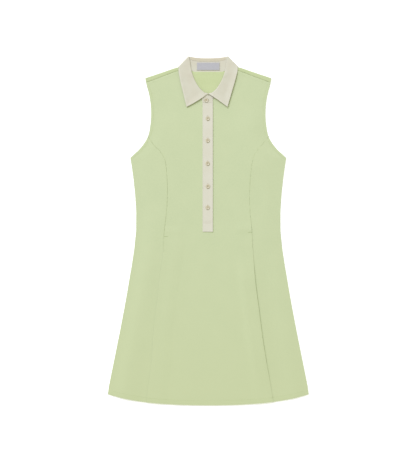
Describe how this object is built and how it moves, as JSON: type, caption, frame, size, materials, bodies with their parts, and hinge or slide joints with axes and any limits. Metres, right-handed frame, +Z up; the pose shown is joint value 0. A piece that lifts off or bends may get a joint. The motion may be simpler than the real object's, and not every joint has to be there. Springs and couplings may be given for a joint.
{
  "type": "polo dress",
  "caption": "Sleeveless flared polo dress with a contrast shirt collar, a buttoned front placket, princess seams and skirt pleats, laid flat on its back.",
  "frame": {"origin": "centre of the dress on the surface that it lies on", "axes": "+Y towards the collar, +X towards the wearer's left side, which is the right as seen from above, +Z up out of the front of the dress"},
  "size_m": [0.532, 0.9253, 0.0065],
  "materials": {
    "knit": "matt double knit",
    "collar_cloth": "matt cotton twill",
    "label_cloth": "woven damask, slightly glossy",
    "button_shell": "semi-gloss pearly polyester",
    "thread": "polyester sewing thread"
  },
  "bodies": {
    "root": {"back": "knit", "front_centre": "knit", "front_side_right": "knit", "front_side_left": "knit", "placket_under": "collar_cloth", "placket_upper": "collar_cloth", "collar_leaf": "collar_cloth", "collar_stand": "collar_cloth", "neck_label": "label_cloth", "button_1": "button_shell", "button_2": "button_shell", "button_3": "button_shell", "button_4": "button_shell", "button_5": "button_shell", "button_6": "button_shell"}
  },
  "joints": []
}
